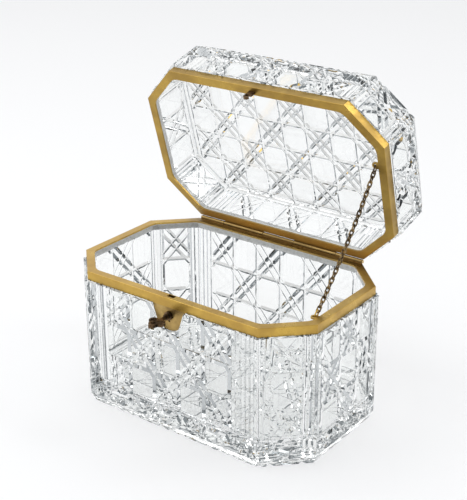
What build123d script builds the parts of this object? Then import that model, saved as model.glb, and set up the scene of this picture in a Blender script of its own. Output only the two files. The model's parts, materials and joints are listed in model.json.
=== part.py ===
from build123d import *
import os
from math import atan2, cos, degrees, hypot, radians, sin, sqrt

# Eight-sided cut-glass casket with gilt brass collars, drawn in millimetres.
# +X runs to the right as seen from the front, +Y to the back and +Z up.
# The origin is the centre of the underside. The lid stands open against its chain.

# ---- overall form ----
collar_length = 160.0        # outer length of both brass collars
collar_depth = 100.0         # outer depth of both brass collars
corner_cut = 21.6            # how far each corner is cut back along either side
rim_height = 82.0            # top face of the base collar above the table
lid_height = 33.4            # top of the lid above its own closing face
closing_gap = 0.4            # space left between the two collars when shut
lid_open_angle = 74.0        # how far the lid leans back when the chain is tight

# ---- glass ----
glass_stand_out = 1.8        # how far the glass stands out past the collars
glass_inner_inset = 4.4      # inner glass face, measured in from the collar outline
base_floor = 12.0            # thickness of the base's floor
lid_roof = 8.0               # thickness of the lid's top
cavity_corner_radius = 9.0   # upright inner corners of base and lid
cavity_floor_radius = 4.0    # round between inner walls and floor or roof
base_bevel_inset = 2.2       # slope round the bottom edge, measured in
base_bevel_height = 5.0
lid_bevel_inset = 2.6        # slope round the top edge, measured in
lid_bevel_height = 5.5
shoulder_gap = 0.2           # gap between a collar's lower edge and the glass shoulder

# ---- brass collars and the cement that holds them ----
sheet = 1.0                  # thickness of the collar metal
skirt_height = 5.2           # height of the collar band that grips the glass
flange_width = 4.8           # width of the flat closing face
flange_corner_radius = 8.0   # rounded inner corners of the closing face
collar_edge_round = 0.3      # softened outer edge of each collar
cement_thickness = 0.6       # cement between metal and glass

# ---- hinge ----
knuckle_radius = 1.3
pin_radius = 0.55
pin_clearance = 0.05
pin_head_radius = 0.9
pin_head_length = 0.5
knuckle_gap = 0.3            # end play between neighbouring knuckles
hinge_clearance = 0.3        # from a knuckle to the metal it turns past
knuckle_ends = [-57.5, -40.0, -11.0, 11.0, 40.0, 57.5]
leaf_thickness = 0.8
leaf_height = 4.4            # how far a hinge leaf reaches along its collar

# ---- lock ----
shield_top_half_width = 11.3
shield_waist_half_width = 9.0
shield_waist_drop = 12.4     # below the rim
shield_drop = 18.8           # lowest point of the shield plate, below the rim
shield_thickness = 0.8
shield_setback = 0.4         # plate face behind the collar's front face
shield_margin = 0.3          # glass recess round the plate
case_half_width = 7.0
case_drop = 14.7             # lower end of the lock case, below the rim
case_depth = 4.5
case_wall = 0.8
cover_thickness = 0.8
case_corner_radius = 3.4     # rounded lower corners of the case
notch_margin = 0.6           # glass notch round the lock case
key_drop = 10.2              # key axis below the rim
key_throw = 180.0            # turn of the key, in degrees, that throws the bolt
bolt_travel = 2.8
bolt_thickness = 1.0
bolt_clearance = 0.3
tongue_height = 1.4
tongue_length = 3.2
bolt_drop_top = 3.0          # upper and lower edges of the bolt, below the rim
bolt_drop_bottom = 7.8
bolt_left = -3.0
bolt_right = 5.8
spring_thickness = 0.25
screw_radius = 0.45
screw_head_radius = 0.8
screw_head_height = 0.4
post_radius = 0.9

# ---- catch on the lid ----
catch_width = 3.6
catch_spine = 0.9
catch_thickness = 1.4
catch_length = 6.8           # below the lid's closing face
catch_setback = 3.2          # centre of the catch behind the collar's front face
catch_lip = 1.3              # thickness of the hook under its opening
catch_opening = 2.0          # height of the opening that the bolt enters
catch_play = 0.5             # space round the catch in the collar slot
catch_offset = -0.2          # centre of the catch from the middle of the box
foot_half_length = 3.6
foot_width = 2.8

# ---- key ----
shank_radius = 1.1
shank_clearance = 0.1
key_pin_radius = 0.5
key_pin_clearance = 0.08
bit_reach = 3.2
bit_thickness = 0.9
bit_height = 2.6             # length of the bit along the shank
shoulder_radius = 2.5
shoulder_thickness = 0.8
neck_radius = 1.0
neck_ring_radius = 1.7
bow_distance = 10.7          # middle of the bow in front of the shield plate
bow_thickness = 1.8
bow_lobe_radius = 2.7
bow_lobe_spread = 2.2
bow_piercing_radius = 1.5
bow_tip_radius = 1.1

# ---- chain ----
chain_wire = 0.8
link_opening = 1.1           # inner width of an oval link
link_count = 29
end_ring_opening = 1.6       # inner width of the rings that pass through the lugs
end_ring_reach = 2.2         # from lug bar to the first link's wire
chain_sag_angle = 12.0       # total change of direction along the hanging chain
chain_inset = 6.8            # chain plane, measured in from the collar's right side
base_lug_setback = 29.8      # chain pivot behind the front of the base collar
lid_lug_setback = 34.9       # chain pivot behind the front of the lid collar
lug_thickness = 0.9
lug_bar = 1.0                # metal left between the lug's hole and its edge
lug_hole_depth = 1.8
lug_hole_width = 1.6
lug_reach = 3.8              # how far a lug stands in from the collar

# ---- derived places ----
half_length = collar_length / 2
half_depth = collar_depth / 2
corner_shrink = 2 - sqrt(2)                 # change of corner_cut for each mm of inset
hinge_y = half_depth + knuckle_radius + hinge_clearance
hinge_z = rim_height + closing_gap / 2
lean = radians(lid_open_angle)

base_frame = Plane.XY.offset(rim_height)    # height 0 is the base collar's top face
face_height = closing_gap / 2               # lid face above the hinge axis when shut
lid_frame = Plane(
    origin=(
        0,
        hinge_y - hinge_y * cos(lean) + face_height * sin(lean),
        hinge_z + hinge_y * sin(lean) + face_height * cos(lean),
    ),
    x_dir=(1, 0, 0),
    z_dir=(0, sin(lean), cos(lean)),
)                                           # height 0 is the lid's closing face

neck_inset = sheet + cement_thickness
neck_top = sheet + cement_thickness         # neck end, measured from the closing face
shoulder = skirt_height + shoulder_gap
plate_front = -half_depth + shield_setback
plate_back = plate_front + shield_thickness
case_back = plate_back + case_depth
catch_y = -half_depth + catch_setback
bolt_back = case_back - bolt_clearance
bolt_front = bolt_back - bolt_thickness
chain_x = half_length - chain_inset
base_pivot_y = -half_depth + base_lug_setback
lid_pivot_y = -half_depth + lid_lug_setback


def eight_sided(inset, corner_radius=0):
    """Draw the casket's outline, moved in from the collar's outer edge."""
    a = half_length - inset
    b = half_depth - inset
    c = corner_cut - inset * corner_shrink
    with BuildSketch(mode=Mode.PRIVATE) as outline:
        with BuildLine():
            Polyline(
                (-a, -b + c), (-a + c, -b), (a - c, -b), (a, -b + c),
                (a, b - c), (a - c, b), (-a + c, b), (-a, b - c),
                close=True,
            )
        make_face()
        if corner_radius:
            fillet(outline.vertices(), corner_radius)
    return add(outline.sketch)


def across(frame, x=0.0):
    """Plane square to X in a frame: its x is depth and its y is height."""
    return Plane(
        origin=frame.from_local_coords((x, 0, 0)), x_dir=frame.y_dir, z_dir=frame.x_dir
    )


def facing(frame, y):
    """Plane square to Y in a frame, seen from the front: its x is X, its y is height."""
    return Plane(
        origin=frame.from_local_coords((0, y, 0)), x_dir=frame.x_dir, z_dir=-frame.y_dir
    )


def save(piece, name):
    piece.part.label = name
    export_step(piece.part, f"parts/{name}.step")


os.makedirs("parts", exist_ok=True)


# ---- lock outlines, shared by the plate, the case and the openings they need ----
def shield_outline(margin=0.0):
    """Shield hanging from the collar's lower edge."""
    top = -skirt_height
    waist = -shield_waist_drop
    foot = -shield_drop - margin
    wide = shield_top_half_width + margin
    narrow = shield_waist_half_width + margin
    bulge = 0.7 * narrow
    bulge_drop = waist + 0.66 * (foot - waist)
    with BuildSketch(mode=Mode.PRIVATE) as shield:
        with BuildLine():
            Line((-wide, top), (wide, top))
            Line((wide, top), (narrow, waist))
            ThreePointArc((narrow, waist), (bulge, bulge_drop), (0, foot))
            ThreePointArc((0, foot), (-bulge, bulge_drop), (-narrow, waist))
            Line((-narrow, waist), (-wide, top))
        make_face()
    add(shield.sketch)


def case_outline(top, margin=0.0):
    """Lock case seen from the front, or the notch ground round it, up to a top line."""
    bottom = -case_drop - margin
    with BuildSketch(mode=Mode.PRIVATE) as outline:
        with Locations((0, bottom)):
            Rectangle(
                2 * (case_half_width + margin), top - bottom, align=(Align.CENTER, Align.MIN)
            )
        fillet(outline.vertices().group_by(Axis.Y)[0], case_corner_radius + margin)
    add(outline.sketch)


def keyhole_outline():
    """Round hole for the shank with a slot below it for the bit."""
    slot = bit_reach + shank_clearance + bolt_clearance
    with Locations((0, -key_drop)):
        Circle(shank_radius + shank_clearance)
        Rectangle(
            bit_thickness + 2 * bolt_clearance, slot, align=(Align.CENTER, Align.MAX)
        )


def catch_slot_outline(play):
    """Slot in a collar face that the lid catch passes through."""
    with Locations((catch_offset, catch_y)):
        Rectangle(catch_width + 2 * play, catch_thickness + 2 * play)


# ---- glass base ----
with BuildPart() as glass_base:
    with BuildSketch(Plane.XY):
        eight_sided(base_bevel_inset - glass_stand_out)
    with BuildSketch(Plane.XY.offset(base_bevel_height)):
        eight_sided(-glass_stand_out)
    loft(ruled=True)
    with BuildSketch(Plane.XY.offset(base_bevel_height)):
        eight_sided(-glass_stand_out)
    extrude(amount=rim_height - shoulder - base_bevel_height)
    with BuildSketch(base_frame.offset(-shoulder)):
        eight_sided(neck_inset)
    extrude(amount=shoulder - neck_top)
    with BuildSketch(Plane.XY.offset(base_floor)):
        eight_sided(glass_inner_inset, cavity_corner_radius)
    extrude(amount=rim_height, mode=Mode.SUBTRACT)
    floor_edges = glass_base.edges().filter_by(
        lambda e: abs(e.center().Z - base_floor) < 0.01
    )
    fillet(floor_edges, cavity_floor_radius)
    with BuildSketch(facing(base_frame, -half_depth - 2 * glass_stand_out)):
        case_outline(0, notch_margin)
    extrude(amount=-(2 * glass_stand_out + 2 * glass_inner_inset), mode=Mode.SUBTRACT)
    with BuildSketch(facing(base_frame, plate_back)):
        shield_outline(shield_margin)
    extrude(amount=2 * glass_stand_out, mode=Mode.SUBTRACT)
save(glass_base, "glass_base")


# ---- glass lid ----
with BuildPart() as glass_lid:
    with BuildSketch(lid_frame.offset(neck_top)):
        eight_sided(neck_inset)
    extrude(amount=shoulder - neck_top)
    with BuildSketch(lid_frame.offset(shoulder)):
        eight_sided(-glass_stand_out)
    extrude(amount=lid_height - lid_bevel_height - shoulder)
    with BuildSketch(lid_frame.offset(lid_height - lid_bevel_height)):
        eight_sided(-glass_stand_out)
    with BuildSketch(lid_frame.offset(lid_height)):
        eight_sided(lid_bevel_inset - glass_stand_out)
    loft(ruled=True)
    with BuildSketch(lid_frame):
        eight_sided(glass_inner_inset, cavity_corner_radius)
    extrude(amount=lid_height - lid_roof, mode=Mode.SUBTRACT)
    roof_edges = glass_lid.edges().filter_by(
        lambda e: abs(lid_frame.to_local_coords(e.center()).Z - (lid_height - lid_roof)) < 0.01
    )
    fillet(roof_edges, cavity_floor_radius)
save(glass_lid, "glass_lid")


# ---- brass collars ----
def collar_shell(frame, inward):
    """Flat closing face and skirt; inward is +1 when the skirt runs up its frame."""
    with BuildPart() as shell:
        with BuildSketch(frame):
            eight_sided(0)
        extrude(amount=inward * skirt_height)
        rim_edges = shell.edges().filter_by(
            lambda e: abs(frame.to_local_coords(e.center()).Z) < 0.01
        )
        fillet(rim_edges, collar_edge_round)
        with BuildSketch(frame.offset(inward * sheet)):
            eight_sided(sheet)
        extrude(amount=inward * skirt_height, mode=Mode.SUBTRACT)
        with BuildSketch(frame):
            eight_sided(flange_width, flange_corner_radius)
        extrude(amount=inward * skirt_height, mode=Mode.SUBTRACT)
    return shell.part


base_shell = collar_shell(base_frame, -1)
with BuildPart() as base_collar:
    add(base_shell)
    with BuildSketch(base_frame):
        catch_slot_outline(catch_play)
    extrude(amount=-2 * sheet, mode=Mode.SUBTRACT)
save(base_collar, "base_collar")

lid_shell = collar_shell(lid_frame, 1)
with BuildPart() as lid_collar:
    add(lid_shell)
    with BuildSketch(lid_frame):
        catch_slot_outline(shank_clearance)
    extrude(amount=2 * sheet, mode=Mode.SUBTRACT)
save(lid_collar, "lid_collar")


# ---- cement rings between the collars and the glass necks ----
def cement_ring(frame, inward):
    """Fills the space under a collar, down to the glass shoulder."""
    with BuildPart() as ring:
        with BuildSketch(frame.offset(inward * sheet)):
            eight_sided(sheet)
        extrude(amount=inward * (skirt_height - sheet))
        with BuildSketch(frame.offset(inward * neck_top)):
            eight_sided(neck_inset)
        extrude(amount=inward * skirt_height, mode=Mode.SUBTRACT)
        with BuildSketch(frame):
            eight_sided(glass_inner_inset, cavity_corner_radius)
        extrude(amount=inward * skirt_height, mode=Mode.SUBTRACT)
    return ring.part


base_ring = cement_ring(base_frame, -1)
with BuildPart() as base_cement:
    add(base_ring)
    with BuildSketch(facing(base_frame, -half_depth)):
        case_outline(0, notch_margin)
    extrude(amount=-2 * glass_inner_inset, mode=Mode.SUBTRACT)
save(base_cement, "base_cement")

lid_ring = cement_ring(lid_frame, 1)
with BuildPart() as lid_cement:
    add(lid_ring)
    with BuildSketch(lid_frame):
        with Locations((catch_offset, catch_y)):
            Rectangle(
                2 * (foot_half_length + shank_clearance), foot_width + 2 * cement_thickness
            )
    extrude(amount=neck_top, mode=Mode.SUBTRACT)
save(lid_cement, "lid_cement")


# ---- hinge ----
def hinge_leaf(frame, inward, axis_height, own_spans):
    """Leaf on the back of a skirt with its knuckles; the pin bore runs through them."""
    first, last = knuckle_ends[0], knuckle_ends[-1]
    outer = half_depth + leaf_thickness
    near = axis_height + inward * (knuckle_radius + hinge_clearance)
    far = axis_height + inward * leaf_height
    with BuildPart() as leaf:
        with BuildSketch(across(frame, first)):
            with BuildLine():
                Polyline(
                    (half_depth, near), (outer, near), (outer, far), (half_depth, far),
                    close=True,
                )
            make_face()
        extrude(amount=last - first)
        for start, end in own_spans:
            with BuildSketch(across(frame, start + knuckle_gap / 2)):
                with BuildLine():
                    Polyline(
                        (half_depth, axis_height), (hinge_y, axis_height), (outer, near),
                        (half_depth, near), close=True,
                    )
                make_face()
                with Locations((hinge_y, axis_height)):
                    Circle(knuckle_radius)
            extrude(amount=end - start - knuckle_gap)
        with BuildSketch(across(frame, first)):
            with Locations((hinge_y, axis_height)):
                Circle(pin_radius + pin_clearance)
        extrude(amount=last - first, mode=Mode.SUBTRACT)
    return leaf.part


spans = list(zip(knuckle_ends[:-1], knuckle_ends[1:]))

base_leaf = hinge_leaf(base_frame, -1, face_height, spans[0::2])
with BuildPart() as base_hinge_leaf:
    add(base_leaf)
save(base_hinge_leaf, "base_hinge_leaf")

lid_leaf = hinge_leaf(lid_frame, 1, -face_height, spans[1::2])
with BuildPart() as lid_hinge_leaf:
    add(lid_leaf)
save(lid_hinge_leaf, "lid_hinge_leaf")

with BuildPart() as hinge_pin:
    with BuildSketch(across(base_frame, knuckle_ends[0])):
        with Locations((hinge_y, face_height)):
            Circle(pin_radius)
    extrude(amount=knuckle_ends[-1] - knuckle_ends[0])
    for end, side in ((knuckle_ends[0], -1), (knuckle_ends[-1], 1)):
        with BuildSketch(across(base_frame, end)):
            with Locations((hinge_y, face_height)):
                Circle(pin_head_radius)
        extrude(amount=side * pin_head_length)
save(hinge_pin, "hinge_pin")


# ---- lock ----
with BuildPart() as lock_plate:
    with BuildSketch(facing(base_frame, plate_back)):
        shield_outline()
    extrude(amount=shield_thickness)
    with BuildSketch(facing(base_frame, plate_back)):
        keyhole_outline()
    extrude(amount=shield_thickness, mode=Mode.SUBTRACT)
save(lock_plate, "lock_plate")

post_spread = (case_corner_radius - case_wall - post_radius / 2) / sqrt(2)
post_places = [
    (
        side * (case_half_width - case_corner_radius + post_spread),
        -case_drop + case_corner_radius - post_spread,
    )
    for side in (-1, 1)
]

with BuildPart() as lock_case:
    with BuildSketch(facing(base_frame, case_back)):
        case_outline(-sheet)
    extrude(amount=case_depth)
    with BuildSketch(facing(base_frame, case_back)):
        case_outline(-sheet - case_wall, -case_wall)
    extrude(amount=case_depth - case_wall, mode=Mode.SUBTRACT)
    with BuildSketch(facing(base_frame, case_back)):
        with Locations(*post_places):
            Circle(post_radius)
    extrude(amount=case_depth - case_wall)
    with BuildSketch(facing(base_frame, case_back)):
        with Locations(*post_places):
            Circle(screw_radius)
    extrude(amount=case_depth - 2 * case_wall, mode=Mode.SUBTRACT)
    with BuildSketch(facing(base_frame, plate_back)):
        keyhole_outline()
    extrude(amount=-case_wall, mode=Mode.SUBTRACT)
    with BuildSketch(base_frame):
        catch_slot_outline(catch_play)
    extrude(amount=-2 * sheet - case_wall, mode=Mode.SUBTRACT)
save(lock_case, "lock_case")

with BuildPart() as lock_cover:
    with BuildSketch(facing(base_frame, case_back + cover_thickness)):
        case_outline(-sheet)
    extrude(amount=cover_thickness)
    with BuildSketch(facing(base_frame, case_back + cover_thickness)):
        with Locations(*post_places):
            Circle(screw_radius)
    extrude(amount=cover_thickness, mode=Mode.SUBTRACT)
save(lock_cover, "lock_cover")

with BuildPart() as lock_cover_screws:
    with BuildSketch(facing(base_frame, case_back + cover_thickness)):
        with Locations(*post_places):
            Circle(screw_radius)
    extrude(amount=cover_thickness + case_depth - 2 * case_wall)
    with BuildSketch(facing(base_frame, case_back + cover_thickness)):
        with Locations(*post_places):
            Circle(screw_head_radius)
    extrude(amount=-screw_head_height)
save(lock_cover_screws, "lock_cover_screws")

key_pin_end = plate_back + 2 * case_wall
with BuildPart() as key_pin:
    with BuildSketch(facing(base_frame, case_back)):
        with Locations((0, -key_drop)):
            Circle(key_pin_radius)
    extrude(amount=case_back - key_pin_end)
save(key_pin, "key_pin")

opening_top = -(catch_length - closing_gap - catch_lip - catch_opening)
tongue_top = opening_top - (catch_opening - tongue_height) / 2
tongue_tip = catch_offset + catch_width / 2 + bolt_clearance + shank_clearance
talon_left = -bit_thickness
talon_right = bit_reach + bit_thickness / 2
talon_top = -key_drop + bit_reach + bolt_clearance + shank_clearance

with BuildPart() as lock_bolt:
    with BuildSketch(facing(base_frame, bolt_back)):
        with BuildLine():
            Polyline(
                (bolt_left, -bolt_drop_bottom), (bolt_right, -bolt_drop_bottom),
                (bolt_right, -bolt_drop_top), (bolt_left, -bolt_drop_top), close=True,
            )
        make_face()
    extrude(amount=bolt_thickness)
    with BuildSketch(facing(base_frame, bolt_back)):
        with Locations((talon_left, talon_top)):
            Rectangle(
                talon_right - talon_left, bolt_drop_bottom, align=(Align.MIN, Align.MAX)
            )
    extrude(amount=bolt_thickness, mode=Mode.SUBTRACT)
    with BuildSketch(facing(base_frame, bolt_front)):
        with Locations((tongue_tip, tongue_top)):
            Rectangle(tongue_length, tongue_height, align=(Align.MIN, Align.MAX))
    extrude(amount=bolt_front - catch_y + catch_thickness / 2)
save(lock_bolt, "lock_bolt")

spring_end = case_half_width - case_wall - 2 * shank_clearance
spring_high = -sheet - case_wall - shank_clearance - spring_thickness
spring_low = -bolt_drop_top + shank_clearance
with BuildPart() as bolt_spring:
    with BuildSketch(facing(base_frame, bolt_back)):
        with BuildLine():
            ThreePointArc((-spring_end, spring_high), (0, spring_low), (spring_end, spring_high))
            Line((spring_end, spring_high), (spring_end, spring_high + spring_thickness))
            ThreePointArc(
                (spring_end, spring_high + spring_thickness),
                (0, spring_low + spring_thickness),
                (-spring_end, spring_high + spring_thickness),
            )
            Line((-spring_end, spring_high + spring_thickness), (-spring_end, spring_high))
        make_face()
    extrude(amount=bolt_thickness)
save(bolt_spring, "bolt_spring")


# ---- catch on the lid, with its foot bedded in the cement ----
with BuildPart() as lid_catch:
    left = catch_offset - catch_width / 2
    right = catch_offset + catch_width / 2
    opening_bottom = -catch_length + catch_lip
    with BuildSketch(facing(lid_frame, catch_y + catch_thickness / 2)):
        with BuildLine():
            Polyline(
                (left, neck_top), (left, -catch_length + catch_spine),
                (left + catch_spine, -catch_length), (right - catch_spine, -catch_length),
                (right, -catch_length + catch_spine), (right, opening_bottom),
                (left + catch_spine, opening_bottom),
                (left + catch_spine, opening_bottom + catch_opening),
                (right, opening_bottom + catch_opening), (right, neck_top),
                close=True,
            )
        make_face()
    extrude(amount=catch_thickness)
    with BuildSketch(lid_frame.offset(sheet)):
        with Locations((catch_offset, catch_y)):
            Rectangle(2 * foot_half_length, foot_width)
    extrude(amount=cement_thickness)
save(lid_catch, "lid_catch")


# ---- key, with its bit towards +X and its bow flat ----
key_end = bolt_back - shank_clearance
bit_start = key_end - bit_height
shoulder_y = plate_front - bolt_clearance
bow_y = plate_front - bow_distance

with BuildPart() as key:
    with BuildSketch(facing(base_frame, key_end)):
        with Locations((0, -key_drop)):
            Circle(shank_radius)
    extrude(amount=key_end - shoulder_y)
    with BuildSketch(facing(base_frame, shoulder_y)):
        with Locations((0, -key_drop)):
            Circle(shoulder_radius)
    extrude(amount=shoulder_thickness)
    with BuildSketch(facing(base_frame, shoulder_y)):
        with Locations((0, -key_drop)):
            Circle(neck_radius)
    extrude(amount=shoulder_y - bow_y - bow_lobe_radius)
    with BuildSketch(facing(base_frame, shoulder_y - 2.4 * shoulder_thickness)):
        with Locations((0, -key_drop)):
            Circle(neck_ring_radius)
    extrude(amount=shoulder_thickness)
    bow_plane = base_frame.offset(-key_drop - bow_thickness / 2)
    with BuildSketch(bow_plane):
        with Locations((-bow_lobe_spread, bow_y + 1), (bow_lobe_spread, bow_y + 1)):
            Circle(bow_lobe_radius)
        with Locations((0, bow_y - bow_lobe_spread)):
            Circle(bow_lobe_radius - 0.2)
        with Locations((0, bow_y - bow_lobe_spread - bow_lobe_radius)):
            Circle(bow_tip_radius - 0.3)
        with Locations((-bow_lobe_spread, bow_y + 1), (bow_lobe_spread, bow_y + 1)):
            Circle(bow_piercing_radius, mode=Mode.SUBTRACT)
        with Locations((0, bow_y - bow_lobe_spread)):
            Circle(bow_piercing_radius - 0.2, mode=Mode.SUBTRACT)
    extrude(amount=bow_thickness)
    with BuildSketch(facing(base_frame, key_end)):
        with Locations((0, -key_drop)):
            Rectangle(bit_reach, bit_thickness, align=(Align.MIN, Align.CENTER))
    extrude(amount=bit_height)
    with BuildSketch(facing(base_frame, key_end)):
        with Locations((0, -key_drop)):
            Circle(key_pin_radius + key_pin_clearance)
    extrude(amount=key_end - key_pin_end + bolt_clearance, mode=Mode.SUBTRACT)
save(key, "key")


# ---- lugs that carry the chain, soldered to the inner edges of the collars ----
def chain_lug(frame, low, pivot_y):
    """Rounded tab with a hole; the chain hangs on the bar beside the hole."""
    near_edge = pivot_y + lug_bar / 2
    width = lug_bar + lug_hole_depth + lug_bar
    with BuildPart() as lug:
        with BuildSketch(frame.offset(low)) as tab:
            with Locations((half_length - flange_width, near_edge)):
                Rectangle(lug_reach, width, align=(Align.MAX, Align.MAX))
            fillet(tab.vertices().group_by(Axis.X)[0], width / 2 - lug_bar / 10)
            with Locations((chain_x, near_edge - lug_bar)):
                Rectangle(
                    lug_hole_width, lug_hole_depth, align=(Align.CENTER, Align.MAX),
                    mode=Mode.SUBTRACT,
                )
        extrude(amount=lug_thickness)
    return lug.part


base_lug = chain_lug(base_frame, -lug_thickness, base_pivot_y)
with BuildPart() as base_chain_lug:
    add(base_lug)
save(base_chain_lug, "base_chain_lug")

lid_lug = chain_lug(lid_frame, 0, lid_pivot_y)
with BuildPart() as lid_chain_lug:
    add(lid_lug)
save(lid_chain_lug, "lid_chain_lug")


# ---- chain: two end rings and the oval links between them, tight from lug to lug ----
def oval_ring(plane, straight, bend_radius):
    """Ring of round wire in a plane, its long way along the plane's x."""
    half = straight / 2
    with BuildPart() as ring:
        with BuildLine(plane) as loop:
            Line((-half, -bend_radius), (half, -bend_radius))
            ThreePointArc((half, -bend_radius), (half + bend_radius, 0), (half, bend_radius))
            Line((half, bend_radius), (-half, bend_radius))
            ThreePointArc((-half, bend_radius), (-half - bend_radius, 0), (-half, -bend_radius))
        with BuildSketch(Plane(origin=loop.line @ 0, z_dir=loop.line % 0)):
            Circle(chain_wire / 2)
        sweep(path=loop.line)
    return ring.part


base_pivot = base_frame.from_local_coords((chain_x, base_pivot_y, -lug_thickness / 2))
lid_pivot = lid_frame.from_local_coords((chain_x, lid_pivot_y, lug_thickness / 2))
chord = hypot(lid_pivot.Y - base_pivot.Y, lid_pivot.Z - base_pivot.Z)
chord_angle = atan2(lid_pivot.Z - base_pivot.Z, lid_pivot.Y - base_pivot.Y)

piece_count = link_count + 2                # the links and the two end rings
turns = [
    radians(chain_sag_angle) * ((i + 0.5) / piece_count - 0.5) for i in range(piece_count)
]
# Links lie flat and upright in turn. A flat one spans its wire centres, an upright
# one the centres of its bends, so the link length follows from the lid's chord.
flat_turns = turns[1:-1:2]
upright_turns = turns[2:-1:2]
bend_loss = 2 * chain_wire + link_opening
chord_of_ends = end_ring_reach * (cos(turns[0]) + cos(turns[-1]))
link_length = (
    chord - chord_of_ends
    + chain_wire * sum(cos(t) for t in flat_turns)
    + bend_loss * sum(cos(t) for t in upright_turns)
) / sum(cos(t) for t in turns[1:-1])
flat_pitch = link_length - chain_wire
upright_pitch = link_length - bend_loss
print(f"chain chord {chord:.3f} link length {link_length:.3f} link count {link_count}")
print(f"chain pivots {base_pivot} {lid_pivot} pitches {flat_pitch:.3f} {upright_pitch:.3f}")

joint_y, joint_z = base_pivot.Y, base_pivot.Z
for i, turn in enumerate(turns):
    direction = chord_angle + turn
    is_end = i in (0, piece_count - 1)
    is_flat = i % 2 == 1
    pitch = end_ring_reach if is_end else flat_pitch if is_flat else upright_pitch
    next_y = joint_y + pitch * cos(direction)
    next_z = joint_z + pitch * sin(direction)
    middle = (chain_x, (joint_y + next_y) / 2, (joint_z + next_z) / 2)
    along = (0, cos(direction), sin(direction))
    square = (0, -sin(direction), cos(direction))
    ring_plane = Plane(origin=middle, x_dir=along, z_dir=square if is_flat else (1, 0, 0))
    straight = end_ring_reach if is_end else upright_pitch
    opening = end_ring_opening if is_end else link_opening
    ring = oval_ring(ring_plane, straight, (opening + chain_wire) / 2)
    with BuildPart() as link:
        add(ring)
    end_names = {0: "base_chain_ring", piece_count - 1: "lid_chain_ring"}
    save(link, end_names.get(i, f"chain_link_{i:02d}"))
    joint_y, joint_z = next_y, next_z
print(f"chain end {joint_y:.4f} {joint_z:.4f} in degrees {degrees(chord_angle):.3f}")
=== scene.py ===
"""Looks of an eight-sided cut-glass casket with gilt collars, a lock, a key and a chain.

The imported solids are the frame. The two glass bodies are copied and their walls are cut with
V-shaped grooves; every other solid keeps its shape and gets its finish here.
"""

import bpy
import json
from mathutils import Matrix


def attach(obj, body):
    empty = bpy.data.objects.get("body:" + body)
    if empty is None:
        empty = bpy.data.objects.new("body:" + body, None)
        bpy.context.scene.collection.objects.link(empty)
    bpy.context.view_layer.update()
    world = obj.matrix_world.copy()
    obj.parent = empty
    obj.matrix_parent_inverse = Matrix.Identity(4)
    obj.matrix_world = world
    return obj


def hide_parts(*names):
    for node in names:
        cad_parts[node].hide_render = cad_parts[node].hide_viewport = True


bl_info = {
    "name": "Glass casket",
    "version": (1, 0, 0),
    "blender": (4, 5, 0),
    "location": "View3D > Sidebar > Casket",
    "description": "Cuts the glass and lays the finishes of a glass casket",
    "category": "Object",
}

import json
import math

import bmesh
import bpy
from bpy.props import FloatProperty, FloatVectorProperty, PointerProperty
from bpy.types import Operator, Panel, PropertyGroup
from mathutils import Matrix, Vector

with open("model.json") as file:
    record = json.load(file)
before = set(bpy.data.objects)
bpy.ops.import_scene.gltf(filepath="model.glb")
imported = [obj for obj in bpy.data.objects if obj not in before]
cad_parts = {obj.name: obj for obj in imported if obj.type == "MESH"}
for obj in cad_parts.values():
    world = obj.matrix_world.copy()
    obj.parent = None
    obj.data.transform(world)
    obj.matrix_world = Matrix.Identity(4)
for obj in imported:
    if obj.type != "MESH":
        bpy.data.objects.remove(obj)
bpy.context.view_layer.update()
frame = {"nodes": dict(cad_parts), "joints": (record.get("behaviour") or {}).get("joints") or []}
NODES = frame["nodes"]
LID_HINGE = next(j for j in frame["joints"] if j["name"] == "lid_hinge")
MM = 0.001

# Telling faces and points apart.
SAME_WAY = 0.9999               # normals whose dot product is above this face the same way
SAME_PLANE = 0.02 * MM          # faces whose planes are closer than this share one plane
SAME_POINT = 1e-6               # points closer than this are one, in metres
ON_PLANE = 2e-6                 # points closer than this to a cutting plane lie on it, in metres
UNCUT = 1e-7                    # a cut shallower than this is none, in metres
FLAT_ANGLE = math.radians(0.05)    # faces that meet at less than this are joined beforehand
MISS_DIGITS = 6                 # digits of the fit of a diagonal, so that equal ones stay equal

# The walls of the glass.
WALLS = 8                       # upright walls, counted round from the front
FRONT, BACK = 1, 5              # numbers of the front and the back wall
LEVEL_FACE = 9                  # number of the top of the lid or of the underside of the base
BASE_ROWS = 3                   # level grooves on a wall of the base
REACH = 4                       # crossed cells laid out to each side of the middle one
EDGE_ROOM = 1.2                 # least room between an upright groove and a corner, in half widths

# The renderer stops a ray after a number of bounces, which would turn deep cuts black.
MOST_TURNS = 6.5                # a ray that has met more surfaces than this goes straight on
MOST_MIRRORS = 2.5              # and so does one that was mirrored more often than this
CAUGHT_SHADE = (0.60, 0.62, 0.63)    # what such a ray keeps at each surface that it still meets

# The surface of the glass, the metal and the cement. Stops are (noise, share).
SMUDGE_FROM, SMUDGE_FULL = 0.5, 0.75    # noise at which smudges begin and are strongest
GLASS_RELIEF = 0.0006           # height of the glass's unevenness, in metres
HINGE_SHADE_SHARE = 0.85              # share of painted shade beside the hinge's axis, where the lid and the base meet
HINGE_SHADE_FROM = 4.0 * MM           # distance from the axis at which the painted shade starts to thin out
HINGE_SHADE_TO = 11.0 * MM            # distance from the axis at which it ends
CLOUD_STOPS = ((0.36, 0.0), (0.62, 1.0))    # dulled clouds
SPECK_STOPS = ((0.66, 0.0), (0.74, 1.0))    # dark specks
BRUSH_STRETCH = (0.02, 0.02, 1.0)    # the brushing runs across Z
BRUSH_SHARE = 0.35              # how much the brushing adds to the dull share
SPECK_SHARE = 0.8               # how dull a speck is
PIT = -0.6                      # height of a speck against the brushing's
METAL_RELIEF = 0.00004          # height of the brushing, in metres
LACQUER_ROUGHNESS = 0.18
SPRING_DULL = (0.12, 0.13, 0.18)    # the blued steel where it is dark
CEMENT_DARK, CEMENT_PALE = (0.60, 0.60, 0.585), (0.78, 0.78, 0.765)
CEMENT_STOPS = ((0.3, 0.0), (0.7, 1.0))
CEMENT_RELIEF = 0.0001          # height of the cement's grain, in metres

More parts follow.
